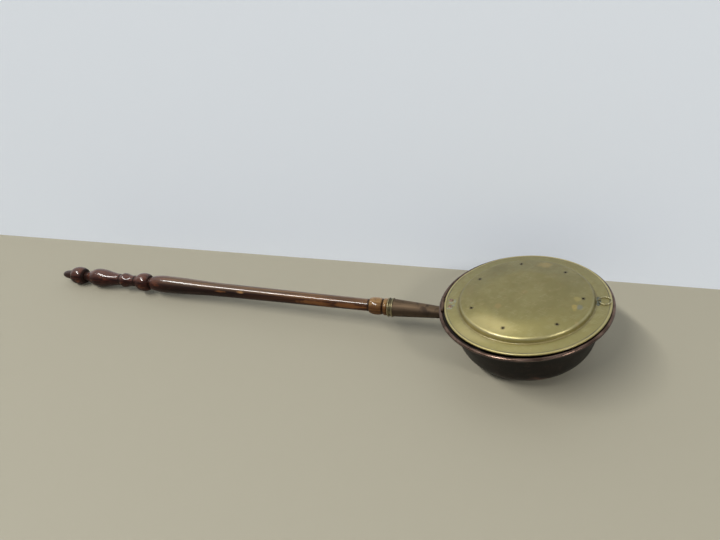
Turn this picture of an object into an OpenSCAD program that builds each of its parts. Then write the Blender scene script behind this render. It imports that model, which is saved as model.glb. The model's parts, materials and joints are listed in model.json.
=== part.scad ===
// Bed warming pan: a copper pan with a wired rim, a hinged brass lid with
// vent holes and a lift loop, and a turned wooden handle in a riveted socket.
// It is drawn lying on a floor, as it rests: on the heel of the pan and on the
// round finial of the handle. +X runs from the handle to the pan, +Z is up.

/* [Pan] */
// Outside diameter over the rolled rim
rim_d = 300; // [285:1:325]
// Height from the underside to the middle of the rolled rim
pan_depth = 95; // [88:1:110]
// Thickness of the pan's copper sheet
pan_t = 1.2; // [0.8:0.1:1.6]
// Diameter of the roll at the rim
rim_roll_d = 7; // [6:0.25:8]
// Lean of the pan's wall from upright, in degrees
wall_lean = 17; // [12:1:20]
// Distance from the top of the wall out to the edge of the rim
rim_reach = 13.3; // [12:0.1:16]
// Radius of the rounded heel under the wall
heel_r = 46; // [36:1:52]
// Radius of the bend where the wall flares into the rim
flare_r = 8; // [5:0.5:10]

/* [Lid] */
// Thickness of the lid's brass sheet
lid_t = 1; // [0.8:0.1:1.2]
// Gap between the lid's edge and the inside of the rim
lid_gap = 0.4; // [0.2:0.1:1.2]
// Distance that the lid sits off centre, away from the hinge
lid_shift = 2.6; // [1:0.1:2.8]
// Distance that the lid sits off centre, to the side
lid_side = 0.9; // [0:0.1:1.2]
// Diameter of the roll at the lid's edge
lid_roll_d = 4.4; // [4:0.1:5]
// Rise of the lid's roll above the flat border
lid_roll_rise = 0.4; // [0.3:0.05:0.6]
// Width of the border between the lid's edge and the foot of the step
border_w = 24.5; // [22:0.5:30]
// Height of the step from the border to its shoulder
step_h = 9.5; // [8:0.5:13]
// Lean of the step's wall from upright, in degrees
step_lean = 16; // [8:1:30]
// Radius of the step's shoulder
shoulder_r = 6; // [4:0.25:7]
// Radius at the foot of the step
foot_r = 2.5; // [1.5:0.25:3.5]
// Rise of the domed middle above the shoulder
dome_rise = 4; // [2:0.5:6]

/* [Vents] */
// Number of vent holes
vent_count = 7; // [5:1:9]
// Diameter of a vent hole
vent_d = 4; // [3:0.25:6]
// Distance from the foot of the step to the circle of vents
vent_inset = 21; // [14:0.5:35]
// Direction of the first vent from the lift loop, in degrees
vent_turn = -5; // [-25:1:25]

/* [Hinge] */
// Angle round the pan from the handle to the hinge, in degrees
hinge_turn = 5.5; // [0:0.5:7]
// Length of the whole hinge barrel
hinge_w = 34; // [30:1:38]
// Length of the lid's middle knuckle
mid_knuckle_w = 14; // [11:0.5:17]
// Outside diameter of the knuckles
knuckle_d = 4.4; // [4:0.1:5]
// Diameter of the hinge pin
hinge_pin_d = 2.2; // [1.6:0.1:2.5]
// Thickness of both hinge leaves
leaf_t = 1.2; // [1:0.1:1.4]
// Width of the lid's leaf where it is riveted
lid_leaf_w = 28; // [27:0.5:32]
// Angle that the pan's leaf covers past the handle and past the hinge, in degrees
pan_leaf_a = 10.5; // [10.2:0.1:12]
// Length of the pan's leaf down the wall below the bend
pan_leaf_l = 32; // [29:1:36]
// Shank diameter of the lid's rivets
lid_rivet_d = 4; // [3:0.25:5]
// Head diameter of the lid's rivets
lid_rivet_head_d = 9; // [7.5:0.25:9.5]
// Distance between the lid's two rivets
lid_rivet_gap = 17.8; // [17:0.2:18.6]
// Distance of the lid's rivets in from the lid's edge
lid_rivet_inset = 12; // [11:0.25:12.5]

/* [Lift loop] */
// Wire diameter of the loop
loop_wire_d = 1.8; // [1.5:0.1:2.2]
// Outside width of the loop
loop_w = 22; // [20:0.5:25]
// Straight length of the loop in the staple
loop_bar_l = 7.6; // [6.4:0.2:8.4]
// Bend radius beside the loop's straight bar
loop_bend_r = 3.2; // [2.5:0.1:3.6]
// Angle at which the sides of the loop spread, in degrees
loop_spread = 38; // [34:1:40]
// Wire diameter of the staple that holds the loop
staple_wire_d = 1.6; // [1.2:0.1:1.8]
// Length of the staple's turned-out ends below the lid
staple_clinch_l = 4; // [2.5:0.25:5]

/* [Socket] */
// Height of the rim's middle above the handle's axis, at the middle of the pan
handle_drop = 40; // [38:0.5:42]
// Rise of the handle from the plane of the rim, in degrees
handle_rise = 5.7; // [5:0.1:6.5]
// Distance from the middle of the pan to the mouth of the socket
socket_reach = 254.5; // [235:0.5:290]
// Outside diameter of the socket behind its collar
socket_mouth_d = 34.4; // [32:0.2:37]
// Outside diameter of the socket at the pan
socket_root_d = 20; // [18:0.2:21]
// Thickness of the socket's sheet
socket_t = 1.2; // [0.9:0.1:1.5]
// Length of the brass collar at the socket's mouth
collar_l = 11; // [9:0.5:16]
// Thickness of the collar's band
collar_t = 1; // [0.8:0.1:1.4]
// Diameter of the bead at each end of the collar
collar_bead_d = 3.2; // [2.4:0.1:3.6]
// Width of the foot plate that is riveted to the pan
foot_w = 56; // [54:1:60]
// Height of the foot plate
foot_h = 29; // [27:0.5:30]
// Thickness of the foot plate
foot_t = 1.6; // [1.2:0.1:2]
// Length of the foot's sleeve round the socket
sleeve_l = 9; // [6:0.5:14]
// Wall of the foot's sleeve
sleeve_t = 1.8; // [1.2:0.1:2.2]
// Shank diameter of the foot's rivets
foot_rivet_d = 3.6; // [3:0.2:4.2]
// Head diameter of the foot's rivets
foot_rivet_head_d = 6.6; // [5.8:0.2:7]
// Angle from the handle to the foot's rivets, round the pan, in degrees
foot_rivet_a = 8.5; // [8.2:0.1:8.8]
// Distance between the foot's upper and lower rivets
foot_rivet_gap = 13; // [11:0.5:15]
// Diameter of the nail that holds the handle
nail_d = 3; // [2:0.25:3.5]
// Length of the nail
nail_l = 15; // [12:0.5:16]
// Distance of the nail from the socket's mouth
nail_inset = 25.5; // [20:0.5:36]

/* [Handle] */
// Length of the handle's spigot inside the socket
spigot_l = 84; // [60:1:100]
// Diameter and length of the bead next to the socket
root_bead = [33.6, 10]; // [6:0.2:36]
// Diameter of the grooves on both sides of the first ball
root_neck_d = 26.6; // [24:0.2:28]
// Diameter and length of the first ball
root_ball = [34.2, 27.6]; // [24:0.2:38]
// Diameter of the shaft next to the first ball
shaft_d = 24; // [22:0.2:26]
// Diameter of the shaft where the grip begins to swell
grip_start_d = 28.4; // [26:0.2:30]
// Length of the even part of the shaft
shaft_l = 307.9; // [220:0.1:340]
// Diameter and length of the swelling of the grip
grip = [36.8, 152]; // [34:1:170]
// Length of the grip's rounded shoulder
shoulder_l = 37; // [24:1:44]
// Diameter of the necks between the turnings
neck_d = 23.6; // [20:0.2:25]
// Length of the neck between the grip and the second ball
neck_l = 4.4; // [2:0.2:8]
// Diameter and length of the second ball
mid_ball = [40, 31.2]; // [28:0.2:44]
// Length of the hollow between the second ball and the ring
cove_l = 15; // [8:0.5:18]
// Diameter and length of the turned ring
ring = [31.4, 29.4]; // [24:0.2:34]
// Diameter and length of the long vase
vase = [40.4, 95.1]; // [38:0.1:99]
// Diameter of the hollow between the vase and the finial
hollow_d = 20.4; // [18:0.2:23]
// Diameter and length of the finial
finial = [39.6, 35.8]; // [32:0.2:44]
// Diameter and length of the nub at the end
nub = [21, 29.1]; // [18:0.1:31]
// Radius of the nub's rounded tip
nub_tip_r = 3; // [2:0.25:5]

/* [Hidden] */
$fn = 96;
seat = 0.25;         // gap under a loose piece that lies on another
fit = 0.1;           // gap between pieces that are fixed together
run_fit = 0.05;      // radial gap of the hinge pin in its knuckles
knuckle_gap = 0.4;   // gap between neighbouring knuckles
hinge_gap = 0.5;     // gap between the lid's edge and the hinge barrel
flare_a = 45;        // slope of the flare below the rim
crease_a = 25;       // slope of the lid's sheet where it rises into the roll
crease_r = 1.2;      // bend radius of that crease
rim_curl_a = 300;    // how far the pan's sheet is rolled round its wire
lid_curl_a = 285;    // how far the lid's sheet is rolled round its wire
head_share = 0.17;   // height of a rivet's head as a share of its diameter
far = 400;           // larger than any cut

copper_dark = [0.20, 0.13, 0.10];
copper_brown = [0.36, 0.23, 0.15];
copper_red = [0.55, 0.30, 0.20];
brass = [0.62, 0.57, 0.32];
brass_dull = [0.42, 0.38, 0.22];
iron = [0.25, 0.24, 0.23];
solder_grey = [0.45, 0.47, 0.45];
wood = [0.27, 0.10, 0.06];

// ---- outlines of bent sheet: points with the direction of the sheet's lower face

// An arc about centre c. face is 0 where the lower face looks away from c, 180 where it looks at c.
function arc(c, r, from, to, face, n) =
    [for (i = [0:n]) let (a = from + (to - from) * i / n) [c[0] + r * cos(a), c[1] + r * sin(a), a + face]];

// The closed outline of a sheet of thickness t along a path.
function sheet(path, t) = concat(
    [for (p = path) [p[0] + t / 2 * cos(p[2]), p[1] + t / 2 * sin(p[2])]],
    [for (i = [len(path) - 1:-1:0]) let (p = path[i]) [p[0] - t / 2 * cos(p[2]), p[1] - t / 2 * sin(p[2])]]
);

// ---- pan: the sheet's middle line, from the axis out to the rolled rim
rim_r = rim_d / 2;
roll_r = rim_roll_d / 2;
bead_r = rim_r - roll_r;
roll_mid = roll_r - pan_t / 2;
heel_mid = heel_r - pan_t / 2;
flare_end = [bead_r - roll_mid * sin(flare_a), pan_depth + roll_mid * cos(flare_a)];
wall_top_r = rim_r - rim_reach;
wall_top_z = flare_end[1] + (wall_top_r - flare_end[0]) * tan(flare_a);
flat_r = wall_top_r - (wall_top_z - heel_r) * tan(wall_lean) - heel_mid / cos(wall_lean);
bend_a = 90 - wall_lean - flare_a;
bend_c = [
    wall_top_r + flare_r / cos(bend_a / 2) * cos(flare_a + bend_a / 2 - 90),
    wall_top_z + flare_r / cos(bend_a / 2) * sin(flare_a + bend_a / 2 - 90)
];
function bend_arc(offset) = arc(bend_c, flare_r + offset, 180 - wall_lean, 90 + flare_a, 180, 5);
function wall_mid(z) = wall_top_r - (wall_top_z - z) * tan(wall_lean);
function wall_out(z) = wall_mid(z) + pan_t / 2 / cos(wall_lean);
pan_path = concat(
    [[0, pan_t / 2, -90]],
    arc([flat_r, heel_r], heel_mid, -90, -wall_lean, 0, 12),
    bend_arc(0),
    arc([bead_r, pan_depth], roll_mid, 90 + flare_a, 90 + flare_a - rim_curl_a, 180, 24)
);

// ---- lid: it sits off centre, and rests on the rim opposite the hinge
lid_r = rim_r - rim_roll_d - lid_gap;
lid_roll_r = lid_roll_d / 2;
lid_bead_r = lid_r - lid_roll_r;
lid_roll_mid = lid_roll_r - lid_t / 2;
off_centre = norm([lid_shift, lid_side]);
lid_bead_z = pan_depth + sqrt(pow(roll_r + lid_roll_r + seat, 2) - pow(bead_r - off_centre - lid_bead_r, 2));
border_mid_z = lid_bead_z + lid_roll_mid - lid_roll_rise;
border_top_z = border_mid_z + lid_t / 2;
border_low_z = border_mid_z - lid_t / 2;
step_foot_r = lid_r - border_w;
foot_mid = foot_r + lid_t / 2;
shoulder_mid = shoulder_r - lid_t / 2;
step_turn = 90 - step_lean;
shoulder_mid_z = border_mid_z + step_h;
// radial width of the step, from the foot's bend to the shoulder's bend
step_run = (foot_mid + shoulder_mid) * sin(step_turn)
    + (step_h - (foot_mid + shoulder_mid) * (1 - cos(step_turn))) * tan(step_lean);
top_r = step_foot_r - step_run;
dome_r = (top_r * top_r + dome_rise * dome_rise) / (2 * dome_rise);
dome_edge_a = asin(top_r / dome_r);
crease_rise = lid_roll_rise - lid_roll_mid * (1 - cos(crease_a)) - crease_r * (1 - cos(crease_a));
crease_x = lid_bead_r - (lid_roll_mid + crease_r) * sin(crease_a) - crease_rise / tan(crease_a);
lid_path = concat(
    [[0, shoulder_mid_z + dome_rise, -90]],
    arc([0, shoulder_mid_z + dome_rise - dome_r], dome_r, 90 - dome_edge_a / 8, 90 - dome_edge_a, 180, 7),
    arc([top_r, shoulder_mid_z - shoulder_mid], shoulder_mid, 90 - dome_edge_a, 90 - step_turn, 180, 6),
    arc([step_foot_r, border_mid_z + foot_mid], foot_mid, 270 - step_turn, 270, 0, 6),
    arc([crease_x, border_mid_z + crease_r], crease_r, -90, crease_a - 90, 0, 2),
    arc([lid_bead_r, lid_bead_z], lid_roll_mid, 90 + crease_a, 90 + crease_a - lid_curl_a, 180, 20)
);
vent_r = step_foot_r - vent_inset;
// the vents were punched by eye: degrees that each one strays round the lid, and mm inwards
vent_strays = [[0.8, 0.9], [0.5, 0.8], [0, -1.6], [1, -0.2], [2.9, 1], [0.3, 2.5], [2.8, 2.4]];

// ---- hinge: its barrel lies in the gap between the lid's edge and the rim
knuckle_r = knuckle_d / 2;
hinge_r = lid_r - lid_shift + hinge_gap + knuckle_r;
bead_at_hinge = sqrt(bead_r * bead_r - hinge_w * hinge_w / 4);
hinge_z = pan_depth + sqrt(pow(roll_r + knuckle_r + seat, 2) - pow(bead_at_hinge - hinge_r, 2));
leaf_offset = pan_t / 2 + fit + leaf_t / 2;
web_r = hinge_r - knuckle_r + leaf_t / 2;
web_curve = hinge_r - sqrt(hinge_r * hinge_r - hinge_w * hinge_w / 4);
lid_leaf_z = border_low_z - leaf_t;
notch_half = mid_knuckle_w / 2 + knuckle_gap;
lid_rivet_r = lid_r - lid_shift - lid_rivet_inset;

// ---- lift loop
loop_wire_r = loop_wire_d / 2;
loop_r = loop_w / 2 - loop_wire_r;
loop_leg_l = (loop_r * cos(loop_spread) - loop_bar_l / 2 - loop_bend_r * cos(loop_spread)) / sin(loop_spread);
loop_far_x = loop_r * sin(loop_spread) + loop_bend_r * (1 - sin(loop_spread)) + loop_leg_l * cos(loop_spread);
staple_wire_r = staple_wire_d / 2;
staple_half = loop_wire_r + seat + staple_wire_r;
solder_h = 0.6;
loop_reach = step_foot_r + staple_half + staple_wire_r + fit;
loop_z = border_top_z + solder_h + seat + loop_wire_r;
roll_top_z = lid_bead_z + lid_roll_r;
loop_lie_a = asin((loop_z - loop_wire_r - seat - roll_top_z) / (lid_bead_r - loop_reach));

// ---- handle axis, as distance from the axis of the pan
axis_z = pan_depth - handle_drop;
function axis_height(x) = axis_z + x * tan(handle_rise);
foot_reach = wall_out(axis_z) / (cos(handle_rise) - sin(handle_rise) * tan(wall_lean));
foot_z = axis_z + foot_reach * sin(handle_rise);
collar_start = socket_reach - collar_l;
lip_r = socket_mouth_d / 2 - collar_t;
socket_slope = (socket_mouth_d - socket_root_d) / 2 / (collar_start - foot_reach);
function socket_r(x) = socket_root_d / 2 + (x - foot_reach) * socket_slope;
socket_start = foot_reach - socket_root_d;

// ---- turned profile: each row is a place on the axis, a radius and the curve that leads to it
STRAIGHT = 0;
WAVE = 1;
RISE = 2;
FALL = 3;
bead_x = socket_reach + root_bead[1];
ball_x = bead_x + root_ball[1];
grip_x = ball_x + shaft_l;
swell_x = grip_x + grip[1];
neck_x = swell_x + shoulder_l;
mid_x = neck_x + neck_l;
cove_x = mid_x + mid_ball[1];
ring_x = cove_x + cove_l;
vase_x = ring_x + ring[1];
finial_x = vase_x + vase[1];
nub_x = finial_x + finial[1];
tip_x = nub_x + nub[1] - nub_tip_r;
// where each turning is thickest, as a share of its length
ball_peak = 0.45;
ring_peak = 0.66;
vase_peak = 0.61;
turning = [
    [socket_reach + fit, root_neck_d / 2 + 1.5, STRAIGHT],
    [socket_reach + root_bead[1] / 2, root_bead[0] / 2, RISE],
    [bead_x, root_neck_d / 2, FALL],
    [bead_x + root_ball[1] * ball_peak, root_ball[0] / 2, RISE],
    [ball_x, shaft_d / 2 + 0.6, FALL],
    [ball_x + 1, shaft_d / 2, STRAIGHT],
    [grip_x, grip_start_d / 2, STRAIGHT],
    [swell_x, grip[0] / 2, WAVE],
    [neck_x, neck_d / 2, FALL],
    [mid_x, neck_d / 2, STRAIGHT],
    [mid_x + mid_ball[1] / 2, mid_ball[0] / 2, RISE],
    [cove_x, neck_d / 2 + 0.4, FALL],
    [ring_x, neck_d / 2 + 0.2, STRAIGHT],
    [ring_x + ring[1] * ring_peak, ring[0] / 2, WAVE],
    [vase_x, neck_d / 2 + 0.8, WAVE],
    [vase_x + vase[1] * vase_peak, vase[0] / 2, WAVE],
    [finial_x, hollow_d / 2, WAVE],
    [finial_x + finial[1] / 2, finial[0] / 2, RISE],
    [nub_x, nub[0] / 2, FALL],
    [tip_x, nub_tip_r, FALL],
    [tip_x + nub_tip_r, 0, FALL]
];

// A point of the curve that leads from row p to row q, at share s of its length.
function turned_point(p, q, s) =
    q[2] == WAVE ? [p[0] + (q[0] - p[0]) * s, p[1] + (q[1] - p[1]) * (1 - cos(180 * s)) / 2]
    : q[2] == RISE ? [p[0] + (q[0] - p[0]) * (1 - cos(90 * s)), p[1] + (q[1] - p[1]) * sin(90 * s)]
    : q[2] == FALL ? [p[0] + (q[0] - p[0]) * sin(90 * s), q[1] + (p[1] - q[1]) * cos(90 * s)]
    : [q[0], q[1]];
turned_curve = [
    for (i = [1:len(turning) - 1])
        let (steps = turning[i][2] == STRAIGHT ? 1 : 9)
            for (k = [1:steps]) turned_point(turning[i - 1], turning[i], k / steps)
];

// ---- resting pose: the tilt at which the heel and the finial touch the floor together
finial_r = finial[0] / 2;
finial_mid = finial_x + finial[1] / 2;
rest_run = finial_mid * cos(handle_rise) - flat_r;
rest_drop = axis_z + finial_mid * sin(handle_rise) - heel_r;
rest_tilt = atan2(rest_drop, rest_run) - asin((finial_r - heel_r) / norm([rest_run, rest_drop]));
slope = handle_rise - rest_tilt;
rest_lift = heel_r + flat_r * sin(rest_tilt) - heel_r * cos(rest_tilt);
x_high = bead_r * cos(rest_tilt) - pan_depth * sin(rest_tilt) + roll_r;
x_low = -tip_x * cos(slope) - axis_z * sin(rest_tilt) - nub_tip_r;

// Lays a piece that is drawn round the pan's own axis down on the floor.
module at_rest() {
    translate([-(x_high + x_low) / 2, 0, rest_lift]) rotate([0, -rest_tilt, 0]) children();
}

// Turns the line through the hinge and the pan's axis, with all of the lid, away from the handle.
module turned() {
    rotate([0, 0, hinge_turn]) children();
}

// Turns +Z to run out along the handle, from the axis of the pan.
module along_handle() {
    translate([0, 0, axis_z]) rotate([0, handle_rise - 90, 0]) children();
}

// Puts a piece on the outside of the wall, its +Z square to the sheet.
module on_wall(turn, z) {
    rotate([0, 0, 180 + turn]) translate([wall_out(z), 0, z]) rotate([0, 90 + wall_lean, 0]) children();
}

// A solid cone that fills the pan's wall out to a distance from its outer face.
module inside_wall(offset) {
    low = -20;
    high = wall_top_z + 20;
    grow = offset / cos(wall_lean);
    translate([0, 0, low]) cylinder(r1 = wall_out(low) + grow, r2 = wall_out(high) + grow, h = high - low);
}

// A rivet with two round heads: its seats are at z = 0 and z = grip.
module rivet(d, head_d, grip, tail_d) {
    head_h = head_d * head_share;
    tail_h = tail_d * head_share;
    rotate_extrude() polygon(concat(
        [for (a = [-90:18:0]) [tail_d / 2 * cos(a), tail_h * sin(a)]],
        [[d / 2, 0], [d / 2, grip]],
        [for (a = [0:18:90]) [head_d / 2 * cos(a), grip + head_h * sin(a)]]
    ));
}

module at_foot_rivets() {
    for (side = [-1, 1], level = [-1, 1])
        on_wall(side * foot_rivet_a, foot_z + level * foot_rivet_gap / 2) children();
}

module foot_rivet_holes() {
    at_foot_rivets() cylinder(d = foot_rivet_d + 2 * run_fit, h = 20, center = true);
}

module pan_bowl() color(copper_dark) difference() {
    rotate_extrude() polygon(sheet(pan_path, pan_t));
    foot_rivet_holes();
}

module rim_wire() color(iron)
    rotate_extrude() translate([bead_r, pan_depth]) circle(r = roll_r - pan_t - run_fit, $fn = 32);

module socket_foot() color(copper_brown) {
    sleeve_end = foot_reach + sleeve_l;
    difference() {
        union() {
            intersection() {
                difference() {
                    inside_wall(foot_t + fit);
                    inside_wall(fit);
                }
                along_handle() linear_extrude(far / 2) {
                    square([foot_h, foot_w - foot_h], center = true);
                    for (side = [-1, 1]) translate([0, side * (foot_w - foot_h) / 2]) circle(d = foot_h);
                }
            }
            difference() {
                along_handle() translate([0, 0, socket_start])
                    cylinder(
                        r1 = socket_r(socket_start) + fit + sleeve_t,
                        r2 = socket_r(sleeve_end) + fit + sleeve_t,
                        h = sleeve_end - socket_start
                    );
                inside_wall(fit + foot_t / 2);
            }
        }
        along_handle() translate([0, 0, socket_start])
            cylinder(
                r1 = socket_r(socket_start) + fit,
                r2 = socket_r(sleeve_end + 10) + fit,
                h = sleeve_end + 10 - socket_start
            );
        foot_rivet_holes();
    }
}

module foot_rivets() color(copper_red) {
    inner = pan_t + fit + leaf_t + fit;
    at_foot_rivets() translate([0, 0, -inner])
        rivet(foot_rivet_d, foot_rivet_head_d, inner + fit + foot_t + fit, foot_rivet_head_d);
}

module socket() color(copper_brown) difference() {
    along_handle() rotate_extrude() polygon([
        [socket_r(socket_start) - socket_t, socket_start],
        [socket_r(socket_start), socket_start],
        [socket_r(collar_start), collar_start],
        [lip_r, collar_start],
        [lip_r, socket_reach],
        [lip_r - socket_t, socket_reach],
        [lip_r - socket_t, collar_start],
        [socket_r(collar_start) - socket_t - collar_t, collar_start - collar_t / socket_slope / 4]
    ]);
    inside_wall(fit);
    nail_hole();
}

module socket_collar() color(brass_dull) along_handle() difference() {
    bead_at = collar_bead_d / 2;
    rotate_extrude() union() {
        translate([lip_r + run_fit, collar_start + fit]) square([collar_t, collar_l - fit]);
        for (z = [collar_start + fit + bead_at, socket_reach - bead_at])
            translate([lip_r + collar_t, z]) circle(d = collar_bead_d, $fn = 24);
    }
    cylinder(r = lip_r + run_fit, h = far);
}

// The nail enters from below, square to the handle. Its head stands on the wider side of the socket's slope.
module at_nail() {
    x = socket_reach - nail_inset;
    along_handle() translate([-socket_r(x + nail_d) - fit, 0, x]) rotate([0, 90, 0]) children();
}

module nail_hole() {
    at_nail() translate([0, 0, -5]) cylinder(d = nail_d + 2 * run_fit, h = nail_l + 5 + fit);
}

module socket_nail() color(iron) at_nail() {
    head_r = nail_d;
    rotate_extrude() polygon(concat(
        [for (a = [0:15:90]) [head_r * sin(a), -nail_d / 2 * cos(a)]],
        [[nail_d / 2, 0], [nail_d / 2, nail_l - nail_d], [0, nail_l]]
    ));
}

module handle() color(wood) difference() {
    along_handle() rotate_extrude() polygon(concat(
        [
            [0, socket_reach - spigot_l],
            [spigot_r(socket_reach - spigot_l), socket_reach - spigot_l],
            [spigot_r(collar_start - collar_l), collar_start - collar_l],
            [lip_r - socket_t - fit, collar_start],
            [lip_r - socket_t - fit, turning[0][0]],
            [turning[0][1], turning[0][0]]
        ],
        [for (p = turned_curve) [p[1], p[0]]]
    ));
    nail_hole();
}
function spigot_r(x) = socket_r(x) - socket_t - collar_t - fit;

module pan_hinge_leaf() color(copper_brown) {
    bottom_z = wall_top_z - pan_leaf_l;
    // hugs the wall and the flare
    hug_path = concat(
        [[wall_mid(bottom_z) - leaf_offset / cos(wall_lean), bottom_z, -wall_lean]],
        bend_arc(leaf_offset),
        [[
            web_r - leaf_offset * sin(flare_a),
            flare_height(web_r) + leaf_offset * cos(flare_a),
            flare_a - 90
        ]]
    );
    // rises straight from the flare to the outer knuckles
    knee = [web_r, flare_height(web_r + web_curve) + leaf_offset / cos(flare_a)];
    riser = [
        [knee[0] - 5, knee[1] - 5 * tan(flare_a), flare_a - 90],
        [knee[0], knee[1], flare_a / 2 - 45],
        [web_r, hinge_z, 0]
    ];
    difference() {
        union() {
            rotate([0, 0, 180 - pan_leaf_a]) rotate_extrude(angle = 2 * pan_leaf_a + hinge_turn)
                polygon(sheet(hug_path, leaf_t));
            turned() difference() {
                union() {
                    flat_sheet(hinge_w) polygon(sheet(riser, leaf_t));
                    at_hinge() cylinder(r = knuckle_r, h = hinge_w, center = true);
                }
                translate([-hinge_r, 0, hinge_z]) cube([40, 2 * notch_half, 30], center = true);
            }
        }
        turned() at_hinge() cylinder(d = hinge_pin_d + 2 * run_fit, h = far, center = true);
        foot_rivet_holes();
    }
}
function flare_height(x) = flare_end[1] + (x - flare_end[0]) * tan(flare_a);

// Draws an outline of the plane through the hinge, and gives it a width.
module flat_sheet(width) {
    rotate([90, 0, 180]) linear_extrude(width, center = true) children();
}

module at_hinge() {
    translate([-hinge_r, 0, hinge_z]) rotate([90, 0, 0]) children();
}

module hinge_pin() color(iron) turned() at_hinge() {
    cylinder(d = hinge_pin_d, h = hinge_w + 1, center = true);
    for (end = [0, 1]) mirror([0, 0, end]) translate([0, 0, hinge_w / 2 + fit])
        cylinder(r1 = knuckle_r - 0.3, r2 = hinge_pin_d / 2, h = 0.8);
}

module lid_notch() {
    translate([-lid_r, 0, border_low_z - far / 2]) cube([2 * border_w, 2 * notch_half, far], center = true);
}

module lid_rivet_holes() {
    at_lid_rivets() cylinder(d = lid_rivet_d + 2 * run_fit, h = 20, center = true);
}

module at_lid_rivets() {
    for (side = [-1, 1]) translate([-lid_rivet_r, side * lid_rivet_gap / 2, border_low_z]) children();
}

// The middle of the lid, with +X towards the lift loop, which lies straight across from the handle.
module at_lid() {
    translate([lid_shift, lid_side, 0]) rotate([0, 0, -hinge_turn]) children();
}

module lid() color(brass) turned() difference() {
    at_lid() difference() {
        rotate_extrude() polygon(sheet(lid_path, lid_t));
        for (i = [0:vent_count - 1]) {
            stray = vent_strays[i % len(vent_strays)];
            rotate([0, 0, vent_turn + i * 360 / vent_count + stray[0]])
                translate([vent_r - stray[1], 0, border_low_z]) cylinder(d = vent_d, h = far);
        }
    }
    lid_notch();
    lid_rivet_holes();
    at_staple() staple_holes();
}

module lid_wire() color(iron) turned() difference() {
    at_lid() rotate_extrude() translate([lid_bead_r, lid_bead_z]) circle(r = lid_roll_r - lid_t - run_fit, $fn = 32);
    lid_notch();
}

module lid_hinge_leaf() color(copper_brown) turned() difference() {
    leaf_end = lid_rivet_r - lid_rivet_inset / 2 - 1;
    corner_r = 4;
    inside_roll = lid_bead_r - lid_roll_r - fit;
    corner_y = lid_leaf_w / 2 + lid_side;
    wide_l = sqrt(inside_roll * inside_roll - corner_y * corner_y) - lid_shift - leaf_end;
    union() {
        translate([0, 0, lid_leaf_z]) linear_extrude(leaf_t) {
            translate([-hinge_r, -mid_knuckle_w / 2]) square([hinge_r - leaf_end - 1, mid_knuckle_w]);
            translate([-leaf_end - wide_l, -lid_leaf_w / 2]) square([wide_l - corner_r, lid_leaf_w]);
            translate([-leaf_end - corner_r, corner_r - lid_leaf_w / 2])
                square([corner_r, lid_leaf_w - 2 * corner_r]);
            for (side = [-1, 1]) translate([-leaf_end - corner_r, side * (lid_leaf_w / 2 - corner_r)])
                circle(r = corner_r);
        }
        at_hinge() cylinder(r = knuckle_r, h = mid_knuckle_w, center = true);
    }
    at_hinge() cylinder(d = hinge_pin_d + 2 * run_fit, h = far, center = true);
    lid_rivet_holes();
}

module lid_rivets() color(copper_red) turned() {
    at_lid_rivets() translate([0, 0, -leaf_t])
        rivet(lid_rivet_d, lid_rivet_head_d, leaf_t + lid_t, lid_rivet_head_d - 2);
}

module at_staple() {
    at_lid() translate([loop_reach, 0, loop_z]) children();
}

module staple_holes() {
    for (side = [-1, 1]) translate([side * staple_half, 0, -10])
        cylinder(d = staple_wire_d + 2 * run_fit, h = 10);
}

// A wire hoop over the loop's bar, with both ends turned out under the lid.
module loop_staple() color(brass_dull) turned() at_staple() {
    bend_r = staple_wire_d;
    leg_l = loop_z - border_low_z + fit;
    rotate([90, 0, 0]) rotate_extrude(angle = 180) translate([staple_half, 0]) circle(r = staple_wire_r, $fn = 24);
    for (side = [0, 1]) mirror([side, 0, 0]) {
        translate([staple_half, 0, -leg_l]) cylinder(r = staple_wire_r, h = leg_l, $fn = 24);
        translate([staple_half + bend_r, 0, -leg_l]) rotate([90, 0, 0]) rotate([0, 0, 180])
            rotate_extrude(angle = 90) translate([bend_r, 0]) circle(r = staple_wire_r, $fn = 24);
        translate([staple_half + bend_r, 0, -leg_l - bend_r]) rotate([0, 90, 0])
            cylinder(r = staple_wire_r, h = staple_clinch_l, $fn = 24);
    }
}

// The flat run of solder that holds the staple on the lid's border.
module staple_solder() color(solder_grey) turned() at_staple() difference() {
    length = 2 * (staple_half + staple_wire_r) + 1;
    width = 12;
    translate([0, 0, border_top_z + fit / 2 - loop_z]) linear_extrude(solder_h - fit / 2) {
        square([length, width - length], center = true);
        for (side = [-1, 1]) translate([0, side * (width - length) / 2]) circle(d = length);
    }
    staple_holes();
}

module loop_arc(r, angle) {
    rotate_extrude(angle = angle) translate([r, 0]) circle(r = loop_wire_r, $fn = 24);
}

// A pear-shaped ring of wire, drawn in its own plane with the bar on the Y axis.
// The straight stretches are a hair thinner than the bends, and end inside them.
module wire_loop() {
    straight_r = loop_wire_r - 0.02;
    lap = 0.15;
    for (side = [0, 1]) mirror([0, side, 0]) translate([loop_bend_r, loop_bar_l / 2, 0])
        rotate([0, 0, 90 + loop_spread]) {
            loop_arc(loop_bend_r, 90 - loop_spread);
            translate([loop_bend_r, lap, 0]) rotate([90, 0, 0])
                cylinder(r = straight_r, h = loop_leg_l + 2 * lap, $fn = 24);
        }
    translate([loop_far_x, 0, 0]) rotate([0, 0, -90 - loop_spread]) loop_arc(loop_r, 180 + 2 * loop_spread);
    rotate([90, 0, 0]) cylinder(r = straight_r, h = loop_bar_l + 2 * lap, center = true, $fn = 24);
}

module lift_loop() color(brass) turned() at_staple() rotate([0, loop_lie_a, 0]) wire_loop();

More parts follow.
